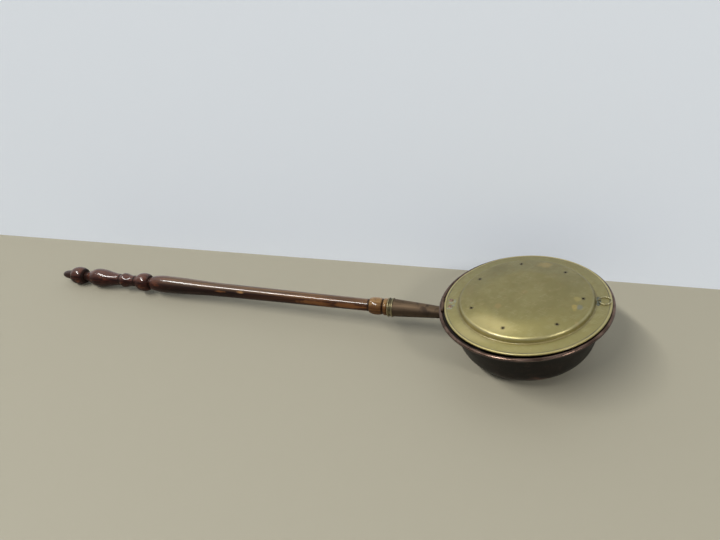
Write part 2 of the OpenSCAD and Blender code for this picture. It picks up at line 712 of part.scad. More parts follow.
at_rest() pan_bowl();
at_rest() rim_wire();
at_rest() socket_foot();
at_rest() foot_rivets();
at_rest() socket();
at_rest() socket_collar();
at_rest() socket_nail();
at_rest() handle();
at_rest() pan_hinge_leaf();
at_rest() hinge_pin();
at_rest() lid();
at_rest() lid_wire();
at_rest() lid_hinge_leaf();
at_rest() lid_rivets();
at_rest() loop_staple();
at_rest() staple_solder();
at_rest() lift_loop();
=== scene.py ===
"""A bed warming pan of brass and copper with a turned wooden handle, lying on a pale floor."""

import json
import math

import bpy
from mathutils import Matrix, Vector

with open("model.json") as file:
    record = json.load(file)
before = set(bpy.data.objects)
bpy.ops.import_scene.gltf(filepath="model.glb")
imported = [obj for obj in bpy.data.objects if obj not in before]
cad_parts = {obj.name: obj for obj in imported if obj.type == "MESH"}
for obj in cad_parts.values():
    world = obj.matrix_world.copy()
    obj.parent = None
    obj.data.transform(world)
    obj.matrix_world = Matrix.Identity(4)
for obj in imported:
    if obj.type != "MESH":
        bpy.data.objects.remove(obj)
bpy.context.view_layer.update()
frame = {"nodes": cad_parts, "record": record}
bpy.ops.object.select_all(action="DESELECT")


# ---- Camera ----------------------------------------------------------------------------------
# The photograph was taken standing beside the pan, looking down along the floor.
# The camera is held a little out of level, so the picture leans.
IMAGE_WIDTH = 720
FOCAL_PIXELS = 603.5
EYE = Vector((0.4394, -0.8687, 0.7894))
DOWN = math.radians(35.46)
TURN = math.radians(19.25)
LEAN = math.radians(-4.34)

camera_data = bpy.data.cameras.new("photo_camera")
camera = bpy.data.objects.new("photo_camera", camera_data)
bpy.context.collection.objects.link(camera)
bpy.context.scene.camera = camera
camera_data.sensor_width = 36.0
camera_data.lens = FOCAL_PIXELS / IMAGE_WIDTH * camera_data.sensor_width
aim = (
    Matrix.Rotation(TURN, 3, "Z")
    @ Matrix.Rotation(math.pi / 2 - DOWN, 3, "X")
    @ Matrix.Rotation(LEAN, 3, "Z")
)
camera.location = EYE
camera.rotation_euler = aim.to_euler()


# ---- Floor, wall and light -------------------------------------------------------------------
# A plain pale floor that meets a plain pale wall close behind the pan.
# A long soft lamp hangs high on the viewer's side, to the left, a smaller one to the right,
# and the pale room fills the rest.
FLOOR_COLOUR = (0.434, 0.402, 0.305, 1.0)
WALL_COLOUR = (0.62, 0.66, 0.72, 1.0)
WALL_LIFT = 0.25
WALL_FOOT = Vector((0.067, 0.2078, 0.0))
WALL_TURN = math.radians(4.2)
STAGE_SIZE = 8.0
LIFT_COLOUR = (0.90, 0.95, 1.0, 1.0)
ROOM_COLOUR = (0.90, 0.94, 1.0, 1.0)
ROOM_STRENGTH = 0.29


def plain_material(name, colour, roughness):
    """One plain colour, for the floor and the wall."""
    material = bpy.data.materials.new(name)
    material.use_nodes = True
    shader = material.node_tree.nodes["Principled BSDF"]
    shader.inputs["Base Color"].default_value = colour
    shader.inputs["Roughness"].default_value = roughness
    return material


bpy.ops.mesh.primitive_plane_add(
    size=STAGE_SIZE * 2, location=WALL_FOOT, rotation=(0, 0, WALL_TURN)
)
floor = bpy.context.object
floor.name = "studio_floor"
floor.data.materials.append(plain_material("studio_floor", FLOOR_COLOUR, 0.6))
bpy.ops.mesh.primitive_plane_add(
    size=STAGE_SIZE,
    location=WALL_FOOT + Vector((0, 0, STAGE_SIZE / 2)),
    rotation=(math.pi / 2, 0, WALL_TURN),
)
wall = bpy.context.object
wall.name = "studio_wall"
wall_paint = plain_material("studio_wall", WALL_COLOUR, 0.8)
wall.data.materials.append(wall_paint)
# The wall is lifted a little where it is seen or mirrored, so that it adds no light to the floor.
wall_nodes, wall_links = wall_paint.node_tree.nodes, wall_paint.node_tree.links
ray = wall_nodes.new("ShaderNodeLightPath")
seen = wall_nodes.new("ShaderNodeMath")
seen.operation = "MAXIMUM"
wall_links.new(ray.outputs["Is Camera Ray"], seen.inputs[0])
wall_links.new(ray.outputs["Is Glossy Ray"], seen.inputs[1])
lift = wall_nodes.new("ShaderNodeMath")
lift.operation = "MULTIPLY"
wall_links.new(seen.outputs[0], lift.inputs[0])
lift.inputs[1].default_value = WALL_LIFT
wall_shader = wall_nodes["Principled BSDF"]
wall_links.new(lift.outputs[0], wall_shader.inputs["Emission Strength"])
wall_shader.inputs["Emission Color"].default_value = LIFT_COLOUR
# From behind it can be seen through, so that the back of the pan can be looked at.
side = wall_nodes.new("ShaderNodeNewGeometry")
one_sided = wall_nodes.new("ShaderNodeMixShader")
wall_links.new(side.outputs["Backfacing"], one_sided.inputs["Fac"])
wall_links.new(wall_shader.outputs[0], one_sided.inputs[1])
wall_links.new(wall_nodes.new("ShaderNodeBsdfTransparent").outputs[0], one_sided.inputs[2])
wall_links.new(one_sided.outputs[0], wall_nodes["Material Output"].inputs["Surface"])

world = bpy.data.worlds.new("studio_air")
world.use_nodes = True
bpy.context.scene.world = world
world.node_tree.nodes["Background"].inputs["Color"].default_value = ROOM_COLOUR
world.node_tree.nodes["Background"].inputs["Strength"].default_value = ROOM_STRENGTH


def soft_lamp(name, place, target, size, watts, colour):
    """A rectangular lamp that faces its target."""
    lamp_data = bpy.data.lights.new(name, "AREA")
    lamp_data.shape = "RECTANGLE"
    lamp_data.size, lamp_data.size_y = size
    lamp_data.energy = watts
    lamp_data.color = colour
    lamp = bpy.data.objects.new(name, lamp_data)
    bpy.context.collection.objects.link(lamp)
    lamp.location = place
    lamp.rotation_euler = (Vector(target) - Vector(place)).to_track_quat("-Z", "Y").to_euler()


soft_lamp("long_lamp", (-3.2, -2.6, 6.1), (0.1, 0, 0), (5.6, 0.5), 350, (1.0, 0.99, 0.97))
soft_lamp("side_lamp", (3.0, -1.9, 2.4), (0.3, 0, 0.1), (0.6, 0.6), 32, (1.0, 0.98, 0.95))

bpy.context.scene.view_settings.view_transform = "Standard"


# ---- Pan -------------------------------------------------------------------------------------
# A bowl raised from one sheet of copper, its edge rolled outwards over an iron wire.
# Outside it has gone almost black, with redder copper where it is rubbed low down.
# The rolled rim is a worn purple brown on its upper part, its lower part left as dark as the body
# as painted shade, and the inside is dull with soot and old tinning.
MM = 0.001
# the circle of the rim's wire, and the height of the middle of the lighter band on the roll round
# it:
# worn copper, set high so that the roll's lower part stays dark as painted shade
RIM_RADIUS = 146.5
RIM_HEIGHT = 95.0
RIM_BAND_HEIGHT = RIM_HEIGHT + 2.0
# the height under which the copper is rubbed, and the height at which it is rubbed most
RUB_START = 42.0
RUB_FULL = 6.0
base_mount = next(m for m in frame["record"]["mounts"] if m["name"] == "pan_base")
PAN_FOOT = Vector(base_mount["pos_m"])
TILT = math.atan2(base_mount["axis"][0], -base_mount["axis"][2])
PAN_UP = (-math.sin(TILT), 0.0, math.cos(TILT))


def fill(tree, node, inputs):
    """Sets a node's inputs, each to a value or to another node's output."""
    for socket, value in inputs.items():
        if isinstance(value, bpy.types.NodeSocket):
            tree.links.new(value, node.inputs[socket])
        else:
            node.inputs[socket].default_value = value


def put(tree, kind, inputs=None, **settings):
    """Adds a shader node with its inputs and its settings."""
    node = tree.nodes.new("ShaderNode" + kind)
    for setting, value in settings.items():
        setattr(node, setting, value)
    fill(tree, node, inputs or {})
    return node


def calc(tree, operation, first, second=0.0, third=0.0):
    return put(tree, "Math", {0: first, 1: second, 2: third}, operation=operation).outputs[0]


def ease(tree, value, start, end, low=0.0, high=1.0):
    """The value's way from start to end, softened at both ends, as low to high."""
    inputs = {"Value": value, "From Min": start, "From Max": end, "To Min": low, "To Max": high}
    return put(tree, "MapRange", inputs, interpolation_type="SMOOTHSTEP").outputs[0]


def span(tree, first, second):
    """How far a point lies from an axis, from its two distances across it."""
    sides = put(tree, "CombineXYZ", {0: first, 1: second}).outputs[0]
    return put(tree, "VectorMath", {0: sides}, operation="LENGTH").outputs["Value"]


def tint(tree, mask, under, over):
    """The colour under, turning to the colour over where the mask is 1."""
    inputs = {0: mask}
    for socket, colour in ((6, under), (7, over)):
        inputs[socket] = (*colour, 1.0) if isinstance(colour, tuple) else colour
    return put(tree, "Mix", inputs, data_type="RGBA").outputs[2]


# used for real stains and for painted light and shade alike
def lay_over(tree, colour, mask, share, over):
    """The colour with another laid over it, at most by the share, where the mask is 1."""
    return tint(tree, calc(tree, "MULTIPLY", mask, share), colour, over)


def vary(tree, mask, low, high):
    """A number from low, where the mask is 0, to high, where it is 1."""
    return put(tree, "MapRange", {"Value": mask, "To Min": low, "To Max": high}).outputs[0]


def blend(tree, mask, under, over):
    """A number under, turning to the number over where the mask is 1; both may be outputs."""
    return put(tree, "Mix", {0: mask, 2: under, 3: over}, data_type="FLOAT").outputs[0]


def new_group(name, inputs, output="Mask", kind="NodeSocketFloat"):
    """A node group: returns it, its inputs inside, and the socket that its result goes to."""
    group = bpy.data.node_groups.new(name, "ShaderNodeTree")
    for socket, value in inputs.items():
        vector = isinstance(value, tuple)
        entry = group.interface.new_socket(
            name=socket,
            in_out="INPUT",
            socket_type="NodeSocketVector" if vector else "NodeSocketFloat",
        )
        entry.default_value = value
    group.interface.new_socket(name=output, in_out="OUTPUT", socket_type=kind)
    start = group.nodes.new("NodeGroupInput").outputs
    end = group.nodes.new("NodeGroupOutput").inputs[0]
    return group, start, end


def place_group(tree, group, **inputs):
    """Adds a group node and returns its result."""
    node = tree.nodes.new("ShaderNodeGroup")
    node.node_tree = group
    fill(tree, node, inputs)
    return node.outputs[0]


# Cloudy patches or, with an uneven stretch, streaks and grain.
patches, start, end = new_group(
    "patches",
    {"Place": (0, 0, 0), "Stretch": (1, 1, 1), "Shift": 0.0, "Detail": 3.0, "From": 0.4, "To": 0.6},
)
scaled = put(patches, "VectorMath", {0: start["Place"], 1: start["Stretch"]}, operation="MULTIPLY")
cloud = put(
    patches,
    "TexNoise",
    {"Vector": scaled.outputs[0], "W": start["Shift"], "Scale": 1.0, "Detail": start["Detail"]},
    noise_dimensions="4D",
)
patches.links.new(ease(patches, cloud.outputs["Fac"], start["From"], start["To"]), end)


def cloudy(tree, place, stretch, start, end, detail=3.0, shift=0.0):
    """Patches on a piece: stretch is how fine they are, evenly or along each axis."""
    if not isinstance(stretch, tuple):
        stretch = (stretch, stretch, stretch)
    inputs = {"Place": place, "Stretch": stretch, "Shift": shift, "Detail": detail}
    return place_group(tree, patches, **inputs, From=start, To=end)


# One blotch with a ragged edge; Reach is its half size each way.
blotch, start, end = new_group(
    "blotch",
    {"Place": (0, 0, 0), "Centre": (0, 0, 0), "Reach": (1, 1, 1), "Ragged": 0.6, "Grain": 0.2},
)
offset = put(blotch, "VectorMath", {0: start["Place"], 1: start["Centre"]}, operation="SUBTRACT")
shrunk = put(blotch, "VectorMath", {0: offset.outputs[0], 1: start["Reach"]}, operation="DIVIDE")
distance = put(blotch, "VectorMath", {0: shrunk.outputs[0]}, operation="LENGTH").outputs["Value"]
cloud = put(blotch, "TexNoise", {"Vector": start["Place"], "Scale": start["Grain"], "Detail": 4.0})
wobble = calc(blotch, "SUBTRACT", cloud.outputs["Fac"], 0.5)
distance = calc(blotch, "MULTIPLY_ADD", wobble, start["Ragged"], distance)
blotch.links.new(ease(blotch, distance, 1.0, 0.45), end)

# A band along a circle round the middle of Place, such as a darker line in a corner or a painted
# highlight on a roll.
ring, start, end = new_group(
    "ring",
    {"Place": (0, 0, 0), "Radius": 1.0, "Height": 0.0, "Width": 1.0, "Soft": 0.5, "Ragged": 0.0},
)
axes = put(ring, "SeparateXYZ", {0: start["Place"]}).outputs
across = calc(ring, "SUBTRACT", span(ring, axes[0], axes[1]), start["Radius"])
upwards = calc(ring, "SUBTRACT", axes[2], start["Height"])
distance = span(ring, across, upwards)
cloud = put(ring, "TexNoise", {"Vector": start["Place"], "Scale": 0.15, "Detail": 3.0})
wobble = calc(ring, "SUBTRACT", cloud.outputs["Fac"], 0.5)
distance = calc(ring, "MULTIPLY_ADD", wobble, start["Ragged"], distance)
inner = calc(ring, "SUBTRACT", start["Width"], start["Soft"])
ring.links.new(ease(ring, distance, start["Width"], inner), end)

# The low waves that hammering leaves in a sheet, as a height in millimetres.
beaten, start, end = new_group(
    "beaten", {"Place": (0, 0, 0), "Blow": 12.0, "Depth": 0.05}, "Height"
)
fine = calc(beaten, "DIVIDE", 1.0, start["Blow"])
cells = put(
    beaten,
    "TexVoronoi",
    {"Vector": start["Place"], "Scale": fine, "Smoothness": 1.0},
    feature="SMOOTH_F1",
)
cloud = put(beaten, "TexNoise", {"Vector": start["Place"], "Scale": fine, "Detail": 1.0})
waves = calc(beaten, "MULTIPLY_ADD", cloud.outputs["Fac"], 1.4, cells.outputs["Distance"])
beaten.links.new(calc(beaten, "MULTIPLY", waves, start["Depth"]), end)

# Fine scratches from cleaning, all lying much the same way; Turn is in radians.
scratches, start, end = new_group(
    "scratches", {"Place": (0, 0, 0), "Turn": 0.0, "Fineness": 0.6, "Shift": 0.0}
)
turned = put(
    scratches,
    "VectorRotate",
    {"Vector": start["Place"], "Angle": start["Turn"]},
    rotation_type="Z_AXIS",
)
drawn_out = put(
    scratches, "VectorMath", {0: turned.outputs[0], 1: (0.03, 1.0, 0.3)}, operation="MULTIPLY"
)
line = put(
    scratches,
    "TexNoise",
    {
        "Vector": drawn_out.outputs[0],
        "Scale": start["Fineness"],
        "W": start["Shift"],
        "Detail": 3.0,
    },
    noise_dimensions="4D",
)
off_middle = calc(scratches, "ABSOLUTE", calc(scratches, "SUBTRACT", line.outputs["Fac"], 0.5))
thin = ease(scratches, off_middle, 0.02, 0.0)
broken = put(scratches, "TexNoise", {"Vector": start["Place"], "Scale": 0.06, "Detail": 2.0})
kept = ease(scratches, broken.outputs["Fac"], 0.45, 0.62)
scratches.links.new(calc(scratches, "MULTIPLY", thin, kept), end)


def finish(name, metallic):
    """A new material: returns it, its node tree and its shader."""
    material = bpy.data.materials.new(name)
    material.use_nodes = True
    shader = material.node_tree.nodes["Principled BSDF"]
    shader.inputs["Metallic"].default_value = metallic
    return material, material.node_tree, shader


def pan_place(tree, centre=(0.0, 0.0)):
    """Millimetres from a centre in the pan's frame: z up from its base, x away from the handle."""
    across = Matrix.Rotation(-TILT, 3, "Y") @ Vector((centre[0], centre[1], 0.0)) * MM
    inputs = {
        "Vector": put(tree, "TexCoord").outputs["Object"],
        "Location": PAN_FOOT + across,
        "Rotation": (0.0, -TILT, 0.0),
        "Scale": (MM, MM, MM),
    }
    return put(tree, "Mapping", inputs, vector_type="TEXTURE").outputs[0]


def facing_up(tree, start=-0.05, end=0.05):
    """1 on a face that looks up out of the pan, 0 on one that looks down."""
    normal = put(tree, "TexCoord").outputs["Normal"]
    up = put(tree, "VectorMath", {0: normal, 1: PAN_UP}, operation="DOT_PRODUCT")
    return ease(tree, up.outputs["Value"], start, end)


def raise_bump(tree, shader, height):
    """Feeds the shader a height in millimetres."""
    bump = put(tree, "Bump", {"Height": height, "Strength": 1.0, "Distance": MM})
    tree.links.new(bump.outputs[0], shader.inputs["Normal"])


def clad(material, *node_names):
    """Gives CAD nodes their material in every slot."""
    for node_name in node_names:
        piece = frame["nodes"][node_name]
        if not piece.material_slots:
            piece.data.materials.append(material)
        for material_slot in piece.material_slots:
            material_slot.material = material


dark_copper, tree, shader = finish("dark_copper", 0.25)
shader.inputs["Specular IOR Level"].default_value = 0.08
place = pan_place(tree)
axes = put(tree, "SeparateXYZ", {0: place}).outputs
clouds = cloudy(tree, place, (0.02, 0.02, 0.035), 0.38, 0.66)
colour = tint(tree, clouds, (0.005, 0.0040, 0.0034), (0.013, 0.0095, 0.0076))
rubbed_and_glow = cloudy(tree, place, 0.05, 0.50, 0.72, detail=6.0, shift=7.0)
low_down = ease(tree, axes[2], RUB_START, RUB_FULL)
rubbed_and_glow = calc(tree, "MULTIPLY", rubbed_and_glow, low_down)
colour = tint(tree, rubbed_and_glow, colour, (0.17, 0.075, 0.050))
specks = cloudy(tree, place, 0.6, 0.60, 0.74, detail=2.0, shift=3.0)
colour = tint(tree, specks, colour, (0.014, 0.011, 0.010))
wiped = place_group(tree, scratches, Place=place, Turn=0.4, Fineness=0.5)
colour = lay_over(tree, colour, wiped, 0.35, (0.14, 0.09, 0.07))
inside = facing_up(tree)
soot = cloudy(tree, place, 0.03, 0.28, 0.72, detail=7.0, shift=11.0)
lining = tint(tree, soot, (0.100, 0.090, 0.080), (0.048, 0.042, 0.037))
colour = tint(tree, inside, colour, lining)
# worn copper on the roll, kept to its upper part: the dark left below it is painted shade
rim = place_group(
    tree,
    ring,
    Place=place,
    Radius=RIM_RADIUS,
    Height=RIM_BAND_HEIGHT,
    Width=4.3,
    Soft=1.4,
    Ragged=1.6,
)
rim_clouds = cloudy(tree, place, 0.04, 0.38, 0.62, detail=4.0, shift=5.0)
rim_colour = tint(tree, rim_clouds, (0.102, 0.064, 0.047), (0.21, 0.138, 0.106))
colour = tint(tree, rim, colour, rim_colour)
tree.links.new(colour, shader.inputs["Base Color"])
tree.links.new(vary(tree, rim, 0.25, 0.9), shader.inputs["Metallic"])
roughness = vary(tree, clouds, 0.38, 0.48)
roughness = blend(tree, inside, roughness, 0.68)
roughness = blend(tree, rim, roughness, 0.23)
tree.links.new(roughness, shader.inputs["Roughness"])
height = place_group(tree, beaten, Place=place, Blow=16.0, Depth=0.10)
height = calc(tree, "MULTIPLY_ADD", specks, -0.015, height)
raise_bump(tree, shader, height)
clad(dark_copper, "pan_bowl")


# ---- Wires in the rolled edges ---------------------------------------------------------------
# Iron wire rings that the rim of the pan and the edge of the lid are rolled over.
# Brown with light rust, and little seen: the pan's from below, the lid's when the lid is open.
def rusty_iron(name, bare, rust_colour):
    material, tree, shader = finish(name, 0.6)
    place = pan_place(tree)
    rust = cloudy(tree, place, 0.12, 0.42, 0.62, detail=6.0)
    tree.links.new(tint(tree, rust, bare, rust_colour), shader.inputs["Base Color"])
    tree.links.new(vary(tree, rust, 0.45, 0.8), shader.inputs["Roughness"])
    pits = cloudy(tree, place, 1.2, 0.35, 0.65)
    raise_bump(tree, shader, calc(tree, "MULTIPLY", pits, 0.05))
    return material


clad(rusty_iron("wire_iron", (0.085, 0.075, 0.068), (0.15, 0.065, 0.03)), "rim_wire", "lid_wire")


# ---- Socket foot and its rivets --------------------------------------------------------------
# A curved plate of copper, riveted to the pan's side, with a short sleeve for the socket.
# It is much the same brown as the socket, and its rivet heads were closed with a hammer.

def brown_copper(name, place_in, dark, light, streaks):
    """Brown copper with patches of dirt; streaks stretches its clouds along the piece."""
    material, tree, shader = finish(name, 0.65)
    place = place_in(tree)
    drawn = cloudy(tree, place, streaks, 0.36, 0.64, detail=4.0)
    colour = tint(tree, drawn, dark, light)
    dirt = cloudy(tree, place, 0.07, 0.50, 0.72, detail=5.0, shift=4.0)
    colour = lay_over(tree, colour, dirt, 0.8, (0.045, 0.030, 0.021))
    tree.links.new(colour, shader.inputs["Base Color"])
    tree.links.new(vary(tree, dirt, 0.56, 0.68), shader.inputs["Roughness"])
    raise_bump(tree, shader, place_group(tree, beaten, Place=place, Blow=7.0, Depth=0.04))
    return material, tree, shader, place, colour


foot_copper, *_ = brown_copper(
    "foot_copper", pan_place, (0.095, 0.060, 0.040), (0.19, 0.12, 0.078), 0.05
)
clad(foot_copper, "socket_foot")


def red_copper(name, dark, light):
    """Rivet copper with the flats that a hammer left."""
    material, tree, shader = finish(name, 0.9)
    place = pan_place(tree)
    tone = cloudy(tree, place, 0.4, 0.40, 0.60, detail=4.0)
    tree.links.new(vary(tree, tone, 0.5, 0.34), shader.inputs["Roughness"])
    raise_bump(tree, shader, place_group(tree, beaten, Place=place, Blow=2.2, Depth=0.09))
    colour = tint(tree, tone, dark, light)
    tree.links.new(colour, shader.inputs["Base Color"])
    return material, tree, shader, place, colour


foot_rivet_copper, *_ = red_copper("foot_rivet_copper", (0.09, 0.045, 0.032), (0.22, 0.11, 0.075))
clad(foot_rivet_copper, "foot_rivets")


# ---- Socket ----------------------------------------------------------------------------------
# A long cone rolled from sheet copper, which holds the end of the handle.
# It is a dull brown with streaks along its length, and darker below as painted shade.
HANDLE_SLOPE = math.radians(2.697)
HANDLE_HEIGHT = 55.0
HANDLE_START = PAN_FOOT + Vector(PAN_UP) * HANDLE_HEIGHT * MM


def handle_place(tree):
    """Millimetres along the handle from the pan's axis, then towards the back, then down."""
    inputs = {
        "Vector": put(tree, "TexCoord").outputs["Object"],
        "Location": HANDLE_START,
        "Rotation": (0.0, math.pi - HANDLE_SLOPE, 0.0),
        "Scale": (MM, MM, MM),
    }
    return put(tree, "Mapping", inputs, vector_type="TEXTURE").outputs[0]


socket_copper, tree, shader, place, colour = brown_copper(
    "socket_copper", handle_place, (0.105, 0.068, 0.038), (0.170, 0.112, 0.064), (0.012, 0.16, 0.16)
)
# painted shade: the lower side of the socket is darkened
below = facing_up(tree, 0.75, 0.25)
colour = lay_over(tree, colour, below, 0.7, (0.030, 0.018, 0.010))
tree.links.new(colour, shader.inputs["Base Color"])
clad(socket_copper, "socket")


# ---- Socket collar ---------------------------------------------------------------------------
# A turned brass ferrule with a bead at each edge, which closes the mouth of the socket.
# It is dull and greenish, darker between the beads, with its beads worn brighter and lightened
# further as a painted highlight.

# how far from its axis the collar is dirty, and how far out it is worn bright and carries a painted
# highlight
COLLAR_DIRT = 17.6
COLLAR_BRIGHT = 19.4

dull_brass, tree, shader = finish("dull_brass", 0.9)
place = handle_place(tree)
axes = put(tree, "SeparateXYZ", {0: place}).outputs
worn_and_highlit = ease(tree, span(tree, axes[1], axes[2]), COLLAR_DIRT, COLLAR_BRIGHT)
tone = cloudy(tree, place, 0.2, 0.38, 0.62, detail=5.0)
colour = tint(tree, tone, (0.085, 0.070, 0.038), (0.15, 0.125, 0.065))
# painted highlight: the beads' worn colour is made lighter than the rest of the brass
colour = tint(tree, worn_and_highlit, colour, (0.36, 0.30, 0.17))
tree.links.new(colour, shader.inputs["Base Color"])
tree.links.new(vary(tree, worn_and_highlit, 0.5, 0.25), shader.inputs["Roughness"])
raise_bump(tree, shader, place_group(tree, beaten, Place=place, Blow=4.0, Depth=0.04))
clad(dull_brass, "socket_collar")


# ---- Socket nail -----------------------------------------------------------------------------
# One iron nail, driven from below through the socket into the handle, which keeps it from turning.
clad(rusty_iron("nail_iron", (0.10, 0.085, 0.075), (0.13, 0.06, 0.03)), "socket_nail")


# ---- Handle ----------------------------------------------------------------------------------
# One length of hardwood turned on a lathe: a bead and a ball next to the socket, a plain shaft that
# swells into the grip, and a row of turnings at the end. It is stained dark red and varnished,
# and the varnish is worn through in places. Its upper sides are painted lighter and its lower
# sides darker, as painted light and shade.

# how far along the handle the ball by the socket ends, and where the neck after the grip starts
BALL_END = 292.1
NECK = 789.0
# where the colour turns to the grip's, and where the streaks grow, read towards the socket
GRIP_TURN = (400.0, 620.0)
STREAK_GROWTH = (520.0, 330.0)
# the grooves between the turnings, where dirt has gathered
GROOVES = (264.5, 293.0, 790.5, 832.0, 869.5, 960.0, 966.0, 999.9)
# the hollow before the finial is painted almost black as shade, and the tip behind it is made
# almost black too
DARK_HOLLOWS = ((952.0, 968.0), (1000.0, 1040.0))
# a chip and a nick in the varnish
CHIP = (567.0, -11.3, -8.2)
NICK = (736.0, -8.7, -13.4)
# where the varnish is rubbed thin: the middle of each patch and its half size
WEAR = (
    ((335.0, -11.0, -2.0), (42.0, 8.0, 7.0)),
    ((405.0, -11.0, -2.0), (45.0, 8.0, 5.0)),
    ((612.0, -13.0, -6.0), (16.0, 4.0, 2.5)),
)

turned_wood, tree, shader = finish("turned_wood", 0.0)
place = handle_place(tree)
along = put(tree, "SeparateXYZ", {0: place}).outputs[0]
grain = cloudy(tree, place, (0.008, 0.30, 0.30), 0.36, 0.66, detail=5.0)
# painted light and shade: the wood is lighter where it faces up and darker where it faces down
painted_light_above = facing_up(tree, 0.45, 0.85)


def wood(below_dark, below_light, above_dark, above_light):
    """Grained wood, with painted light on its upper side and painted shade below."""
    below = tint(tree, grain, below_dark, below_light)
    return tint(tree, painted_light_above, below, tint(tree, grain, above_dark, above_light))


def worn_patch(centre, reach, ragged, fineness):
    """A ragged patch on the handle."""
    return place_group(
        tree, blotch, Place=place, Centre=centre, Reach=reach, Ragged=ragged, Grain=fineness
    )


colour = wood(
    (0.022, 0.007, 0.004), (0.066, 0.022, 0.008), (0.082, 0.036, 0.011), (0.215, 0.103, 0.032)
)
grip = wood(
    (0.008, 0.003, 0.002), (0.026, 0.009, 0.005), (0.080, 0.038, 0.015), (0.190, 0.098, 0.042)
)
colour = tint(tree, ease(tree, along, *GRIP_TURN), colour, grip)
streaks = cloudy(tree, place, (0.010, 0.16, 0.16), 0.48, 0.64, detail=5.0, shift=9.0)
by_socket = calc(tree, "MULTIPLY", streaks, ease(tree, along, *STREAK_GROWTH))
colour = lay_over(tree, colour, by_socket, 0.7, (0.22, 0.085, 0.022))
for centre, reach in WEAR:
    patch = worn_patch(centre, reach, 1.4, 0.12)
    colour = lay_over(tree, colour, patch, 0.65, (0.21, 0.085, 0.026))
turnings = wood(
    (0.012, 0.003, 0.002), (0.042, 0.010, 0.006), (0.070, 0.023, 0.012), (0.130, 0.044, 0.024)
)
rubbed_and_glow = cloudy(tree, place, (0.04, 0.07, 0.07), 0.54, 0.68, detail=4.0, shift=5.0)
turnings = lay_over(tree, turnings, rubbed_and_glow, 0.7, (0.16, 0.048, 0.020))
colour = tint(tree, ease(tree, along, NECK - 80.0, NECK + 4.0), colour, turnings)
ball = wood(
    (0.070, 0.029, 0.009), (0.140, 0.060, 0.017), (0.25, 0.128, 0.036), (0.35, 0.195, 0.062)
)
smudge = cloudy(tree, place, 0.09, 0.50, 0.66, detail=4.0, shift=1.5)
ball = lay_over(tree, ball, smudge, 0.6, (0.085, 0.033, 0.011))
colour = tint(tree, ease(tree, along, BALL_END + 0.8, BALL_END - 1.5), colour, ball)
pores = cloudy(tree, place, (0.05, 1.6, 1.6), 0.56, 0.70, detail=3.0, shift=2.0)
colour = lay_over(tree, colour, pores, 0.5, (0.014, 0.005, 0.003))
for start, end in DARK_HOLLOWS:
    shade = calc(
        tree,
        "MULTIPLY",
        ease(tree, along, start - 5.0, start + 4.0),
        ease(tree, along, end + 5.0, end - 4.0),
    )
    colour = lay_over(tree, colour, shade, 0.75, (0.020, 0.008, 0.006))
dirt = 0.0
for groove in GROOVES:
    off_groove = calc(tree, "ABSOLUTE", calc(tree, "SUBTRACT", along, groove))
    dirt = calc(tree, "MAXIMUM", dirt, ease(tree, off_groove, 4.0, 0.6))
colour = lay_over(tree, colour, dirt, 0.85, (0.013, 0.006, 0.004))
chip = worn_patch(CHIP, (10.0, 3.2, 3.2), 0.9, 0.4)
colour = lay_over(tree, colour, chip, 0.85, (0.36, 0.19, 0.075))
nick = worn_patch(NICK, (3.5, 2.6, 2.6), 0.8, 0.6)
colour = lay_over(tree, colour, nick, 0.8, (0.14, 0.065, 0.038))
bare = calc(tree, "MAXIMUM", chip, nick)
tree.links.new(colour, shader.inputs["Base Color"])
shader.inputs["Specular IOR Level"].default_value = 0.1
shader.inputs["Coat Roughness"].default_value = 0.11
shader.inputs["Coat IOR"].default_value = 1.5
varnish = vary(tree, facing_up(tree, 0.35, 0.75), 0.12, 1.0)
bald = vary(tree, calc(tree, "MAXIMUM", bare, dirt), 1.0, 0.1)
tree.links.new(calc(tree, "MULTIPLY", varnish, bald), shader.inputs["Coat Weight"])
tree.links.new(vary(tree, streaks, 0.42, 0.55), shader.inputs["Roughness"])
height = calc(tree, "MULTIPLY", grain, 0.025)
height = calc(tree, "MULTIPLY_ADD", pores, -0.015, height)
raise_bump(tree, shader, calc(tree, "MULTIPLY_ADD", bare, -0.5, height))
clad(turned_wood, "handle")


# ---- Pan's hinge leaf and pin ----------------------------------------------------------------
# A copper strap riveted inside the pan's wall, which rises over the rim to the two outer knuckles.
# The pin through the knuckles is iron wire.
clad(foot_copper, "pan_hinge_leaf")
clad(rusty_iron("pin_iron", (0.11, 0.09, 0.08), (0.12, 0.06, 0.03)), "hinge_pin")


# ---- Lid -------------------------------------------------------------------------------------
# One sheet of brass, raised in the middle with a rounded step, its edge rolled over a wire.
# Years of polish have left it an olive gold with stains and dark rims round the seven vents.
# It is darker at the foot of the step and along the crease by the roll, painted lighter towards
# the front as a painted reflection, with a painted glow at the front left and painted highlights
# on the step's shoulder and on the roll. Underneath it is brown with smoke.
LID_CENTRE = (2.5, 1.15)
BORDER_HEIGHT = 101.7
STEP_FOOT_DARK_HEIGHT = BORDER_HEIGHT + 0.5
# circles round the lid, by their radius or by radius and height
STEP_FOOT = 117.0
SHOULDER = (113.0, 109.3)
ROLL_CREASE = 138.3
ROLL_TOP = (140.4, 101.9)
# where the border turns paler, by radius
BORDER_TURN = (112.0, 119.0)
# where the painted reflection lightens the lid, and where the painted highlight on its step grows,
# read towards the front
FRONT_REFLECTION = (-15.0, -90.0)
FRONT_STEP_HIGHLIGHT = (10.0, -70.0)
# how the bump falls away over the dome and the border: from which radius, to which, how far
FALLS = ((66.0, 121.0, -11.0), (118.0, 142.0, -4.2))
# each vent: its direction in degrees and how far out it lies
VENTS = (
    (-4.2, 96.2),
    (46.9, 96.3),
    (97.9, 98.7),
    (150.3, 97.3),
    (203.6, 96.1),
    (252.4, 94.6),
    (306.4, 94.7),
)
VENT_RIM = (0.14, 0.11, 0.055)
